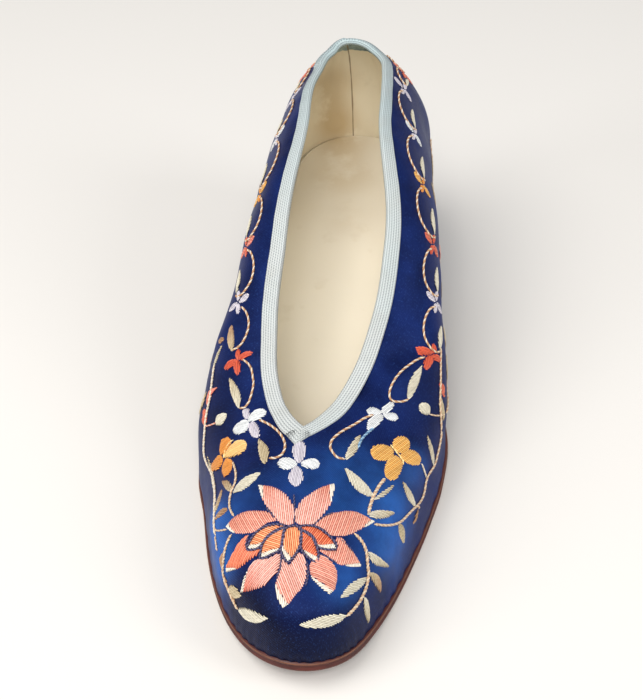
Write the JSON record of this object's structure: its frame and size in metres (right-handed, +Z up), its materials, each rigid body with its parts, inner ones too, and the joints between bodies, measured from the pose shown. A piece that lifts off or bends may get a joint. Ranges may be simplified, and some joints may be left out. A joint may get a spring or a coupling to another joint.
{
  "type": "embroidered heeled shoe",
  "caption": "Left court shoe in embroidered silk satin with a ribbed collar braid, V throat, leather sole and low covered heel.",
  "frame": {"origin": "on the floor, under the middle of the shoe", "axes": "+Y from toe to heel, +X towards the outer side of the foot, +Z up"},
  "size_m": [0.0798, 0.2232, 0.0894],
  "materials": {
    "navy_satin": "silk satin",
    "ice_braid": "ribbed cotton braid",
    "cream_sock": "matt cotton",
    "brown_leather": "worn, semi-matt"
  },
  "bodies": {
    "root": {"upper": "navy_satin", "collar_braid": "ice_braid", "insole": "cream_sock", "outsole": "brown_leather", "heel": "navy_satin", "heel_top_lift": "brown_leather"}
  },
  "joints": []
}
